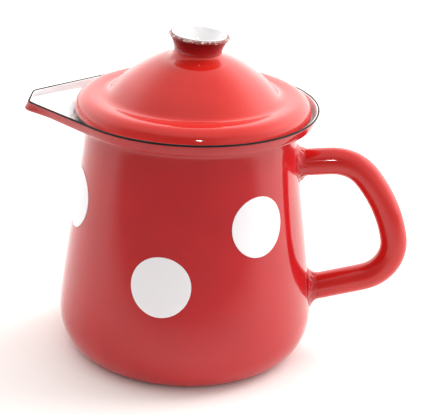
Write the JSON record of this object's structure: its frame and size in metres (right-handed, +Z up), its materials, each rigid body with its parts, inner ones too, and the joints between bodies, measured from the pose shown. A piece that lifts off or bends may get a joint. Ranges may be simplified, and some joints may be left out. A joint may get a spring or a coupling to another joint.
{
  "type": "lidded enamel pouring pot",
  "caption": "Lidded enamelled steel pouring pot with a pressed spout opposite a tube handle, a domed lid with a cup knob, and round white transfers on the side.",
  "frame": {"origin": "the middle of the flat base, on the axis of the round pot", "axes": "+Z up along the axis of the pot and lid, -X towards the spout, +X towards the handle"},
  "size_m": [0.1378, 0.093, 0.1181],
  "materials": {
    "red_enamel": "glossy fired enamel on drawn steel",
    "lid_red_enamel": "glossy fired enamel on drawn steel",
    "white_enamel": "glossy fired enamel coat",
    "white_steel": "glossy fired enamel on steel strip",
    "white_transfer": "glossy fired enamel transfer",
    "black_enamel": "glossy fired enamel edging",
    "worn_enamel": "thin speckled enamel over dark ground coat"
  },
  "bodies": {
    "pot": {"pot_shell": "red_enamel", "pot_lining": "white_enamel", "rim_edging": "black_enamel", "handle_tube": "red_enamel", "handle_upper_weld": "red_enamel", "handle_lower_weld": "red_enamel", "dot_1": "white_transfer", "dot_2": "white_transfer", "dot_3": "white_transfer", "dot_4": "white_transfer", "dot_5": "white_transfer", "dot_6": "white_transfer"},
    "lid": {"lid_shell": "lid_red_enamel", "lid_lining": "white_enamel", "lid_collar": "white_steel", "knob_cup": "lid_red_enamel", "knob_lining": "white_enamel", "knob_edging": "worn_enamel", "knob_weld": "lid_red_enamel"}
  },
  "joints": [
    {"name": "lid_lift", "type": "slide", "parent": "pot", "child": "lid", "axis": [0, 0, 1], "range_m": [0, 0.06]}
  ]
}
